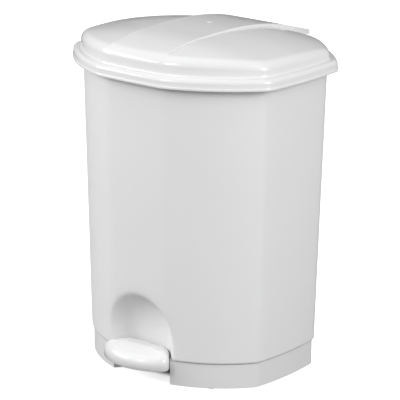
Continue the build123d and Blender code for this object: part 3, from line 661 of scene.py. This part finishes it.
def dome_top(x, y):
    """The dome's height beside the band."""
    fall = max(0.0, x * x - BAND_HALF ** 2) / CROWN_RADIUS / 2
    return follow(RIDGE, y) - follow(STEP_DOWN, y) - fall


wide_ring = plan_ring(DOME_GROW, 0)
narrow_ring = plan_ring(DOME_GROW - RING_SPREAD, 0)


def shoulder_ring(angle, inset):
    """The rounded shoulder between the dome's wall and its top, at an angle up from the wall."""
    ring = []
    for wide, narrow in zip(wide_ring, narrow_ring):
        top = dome_top(wide[0], wide[1])
        radius = max(LEAST_SHOULDER, min(SHOULDER, top - LEDGE_TOP - SHOULDER_CLEARANCE))
        inner_radius = radius - inset * INSET_SHARE
        turn = math.radians(angle)
        share = (inset + inner_radius * (1 - math.cos(turn))) / RING_SPREAD
        x = wide[0] + (narrow[0] - wide[0]) * share
        y = wide[1] + (narrow[1] - wide[1]) * share
        ring.append((x, y, dome_top(x, y) - inset - inner_radius * (1 - math.sin(turn))))
    return ring


def dome_ring(share, inset):
    """The shoulder's top ring drawn in towards the middle of the dome."""
    return [(x * share, y * share, dome_top(x * share, y * share) - inset)
            for x, y, _ in shoulder_ring(90, inset)]


dome_shares = (0.985, 0.965, 0.94, 0.91, 0.88, 0.84, 0.80, 0.75, 0.70, 0.64, 0.58, 0.50, 0.42, 0.34, 0.26,
               0.18, 0.10, 0.03)
lid_rings = [dome_ring(share, LID_WALL) for share in reversed(dome_shares)]
lid_rings += [shoulder_ring(angle, LID_WALL) for angle in (90, 70, 50, 30, 0)]
lid_rings += [plan_ring(grow, z) for grow, z in RIM_PROFILE]
lid_rings += [shoulder_ring(angle, 0.0) for angle in range(0, 91, 9)]
lid_rings += [dome_ring(share, 0.0) for share in dome_shares]
lid_shell = raise_wall("lid_moulding", lid_rings)

TAIL_END = 0.1548
TAIL_TOP = 0.3960
TAIL_BOTTOM = 0.3905
BAND_FRONT = 0.1312
BAND_EDGE = 0.0012
EDGE_SHARE = 0.7
GATE_Y = 0.010
GATE_R = 0.0040
GATE_DEPTH = 0.0010
BAND_FACE_Y = -0.12
BAND_FACE_TOP_Y = -0.13
BAND_FOOT = 0.3879
BAND_HEEL_Y = 0.1306
TAIL_ROOT_Y = 0.1412
BAND_UNDER_Y = -0.1308
BAND_GAP = 0.0011
band_top = [(-BAND_FRONT, BAND_FOOT), (-BAND_FRONT, 0.3915)]
for angle in range(0, 91, 9):
    turn = math.radians(angle)
    y = -BAND_FRONT + SHOULDER * (1 - math.cos(turn))
    band_top.append((y, follow(RIDGE, y) - SHOULDER * (1 - math.sin(turn))))
ridge_places = [-0.120 + 0.004 * step for step in range(31)] + [0.0045 + 0.0007 * step for step in range(17)]
ridge_places += [0.020 + 0.004 * step for step in range(33)] + [0.151]
band_top += [(y, follow(RIDGE, y)) for y in ridge_places]
band_top += [(TAIL_END - 0.0012, TAIL_TOP + 0.0004), (TAIL_END - 0.0004, TAIL_TOP),
             (TAIL_END, TAIL_TOP - 0.0008)]
band_under = [(TAIL_END, TAIL_BOTTOM), (TAIL_ROOT_Y, TAIL_BOTTOM), (TAIL_ROOT_Y, BAND_FOOT),
              (BAND_HEEL_Y, BAND_FOOT)]
rear_dome = dome_top(0, 0.1290) - 0.0035
band_under += [(BAND_HEEL_Y, rear_dome - 0.0015), (0.1275, rear_dome)]
band_under += [(0.118 - 0.008 * step, dome_top(0, 0.118 - 0.008 * step) - BAND_GAP) for step in range(30)]
band_under += [(-0.1215, dome_top(0, -0.1215) - 0.0016), (-0.1280, dome_top(0, -0.128) - 0.0045),
               (BAND_UNDER_Y, 0.3990), (BAND_UNDER_Y, BAND_FOOT)]


def band_ring(x):
    """The band's side outline at a station across it, eased at its edges and dimpled at the gate."""
    over = max(0.0, abs(x) - BAND_HALF + BAND_EDGE) * EDGE_SHARE
    drop = BAND_EDGE - math.sqrt(max(0.0, BAND_EDGE ** 2 - over ** 2))
    bulge = FRONT_BULGE * (x / BAND_HALF) ** 2
    ring = []
    for y, z in band_top:
        away = math.hypot(x, y - GATE_Y)
        dimple = GATE_DEPTH * max(0.0, 1 - (away / GATE_R) ** 2)
        ease = (drop + bulge) if y < BAND_FACE_Y else 0.0
        ring.append((x, y + ease, z - dimple - (drop if y > BAND_FACE_TOP_Y else 0.0)))
    for y, z in band_under:
        ring.append((x, y + (bulge if y < BAND_FACE_Y else 0.0), z))
    return ring


stations = [-BAND_HALF, -BAND_HALF + 0.0001, -BAND_HALF + 0.0003, -BAND_HALF + 0.0006, -BAND_HALF + 0.001]
stations += [-0.041 + 0.004 * step for step in range(10)]
stations += [-0.0042 + 0.0007 * step for step in range(6)]
stations += [0.0] + [-x for x in reversed(stations)]
lid_band = raise_wall("band", [band_ring(x) for x in stations])

KNUCKLE_HALF = 0.022
KNUCKLE_TOP = 0.3908
SMALL_EDGE = 0.0005
knuckle_outline = [(HINGE_Y - KNUCKLE_R, KNUCKLE_TOP), *arc((HINGE_Y, HINGE_Z), KNUCKLE_R, 180, 360, 24),
                   (HINGE_Y + KNUCKLE_R, KNUCKLE_TOP)]
knuckle = raise_wall("knuckle", across(knuckle_outline, (-KNUCKLE_HALF, KNUCKLE_HALF)))
round_edges(knuckle, SMALL_EDGE, 2)
LUG_TIP = (0.1365, 0.3745)
LUG_R = 0.004
LUG_HALF_THICK = 0.003
LUG_HALF = 0.005
lug_run = math.degrees(math.atan2(LUG_TIP[1] - HINGE_Z, LUG_TIP[0] - HINGE_Y))
lug_outline = arc((HINGE_Y, HINGE_Z), LUG_HALF_THICK, lug_run + 90, lug_run + 270, 8)
lug_outline += arc(LUG_TIP, LUG_R, lug_run - 110, lug_run + 110, 20)
lug = raise_wall("lug", across(lug_outline, (-LUG_HALF, LUG_HALF)))
round_edges(lug, SMALL_EDGE, 2)
weld(lid_shell, lid_band, knuckle, lug)
smooth(lid_shell, 38)
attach(lid_shell, "lid")
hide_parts("lid")
lid_shell.data.materials.append(
    moulded_plastic("lid_white", (0.76, 0.76, 0.76), (0.745, 0.745, 0.748), 0.13, 0.02))

# ---- Lid bumpers. Two soft pegs pressed into the lid's ledge land on the body's lip.
finish_node(soft_rubber("bumper_pale", (0.62, 0.62, 0.63), (0.55, 0.55, 0.56)),
            "lid_bumper_left", "lid_bumper_right")

# ---- Inner bucket. The lift-out liner is a thin white moulding that hangs by its turned flange on the
# body's top. Its flange is notched at the back for the lid's lug.
BUCKET_FLOOR = 0.052
BUCKET_WALL = 0.0018
BUCKET_FOOT_GROW = -0.031
BUCKET_TOP_GROW = 0.007
BUCKET_FLANGE_TOP = 0.382
FLANGE_PROFILE = ((BUCKET_TOP_GROW, 0.3790), (0.0073, 0.3796), (0.0099, 0.3796), (0.0104, 0.3800),
                  (0.0105, 0.3806), (0.0104, 0.3814), (0.0099, 0.3819), (0.0090, BUCKET_FLANGE_TOP),
                  (0.0065, BUCKET_FLANGE_TOP), (0.0056, 0.3817), (0.0053, 0.3810))
BUCKET_NOTCH_HALF = 0.020
BUCKET_NOTCH_BOTTOM = 0.370


def bucket_grow(z):
    """The liner's growth at a height."""
    rise = (z - BUCKET_FLOOR) / (BODY_TOP - BUCKET_FLOOR)
    return BUCKET_FOOT_GROW + (BUCKET_TOP_GROW - BUCKET_FOOT_GROW) * rise


bucket_heights = [0.0575, 0.075, 0.100, 0.150, 0.200, 0.250, 0.300, 0.350]
bucket_rings = [plan_ring(BUCKET_FOOT_GROW - 0.004, BUCKET_FLOOR),
                plan_ring(BUCKET_FOOT_GROW - 0.0013, 0.0532)]
bucket_rings += [plan_ring(bucket_grow(z), z) for z in bucket_heights]
bucket_rings += [plan_ring(grow, z) for grow, z in FLANGE_PROFILE]
bucket_rings += [plan_ring(bucket_grow(z) - BUCKET_WALL, z) for z in reversed(bucket_heights)]
bucket_rings += [plan_ring(BUCKET_FOOT_GROW - BUCKET_WALL - 0.001, 0.0555),
                 plan_ring(BUCKET_FOOT_GROW - BUCKET_WALL - 0.004, 0.0545)]
inner_bucket = raise_wall("liner", bucket_rings)
cut_box(inner_bucket, (-BUCKET_NOTCH_HALF, NOTCH_FRONT, BUCKET_NOTCH_BOTTOM),
        (BUCKET_NOTCH_HALF, NOTCH_REAR, NOTCH_TOP))
smooth(inner_bucket, 40)
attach(inner_bucket, "body")
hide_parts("inner_bucket")
inner_bucket.data.materials.append(
    moulded_plastic("liner_white", (0.74, 0.74, 0.745), (0.70, 0.70, 0.71), 0.42, 0.2))
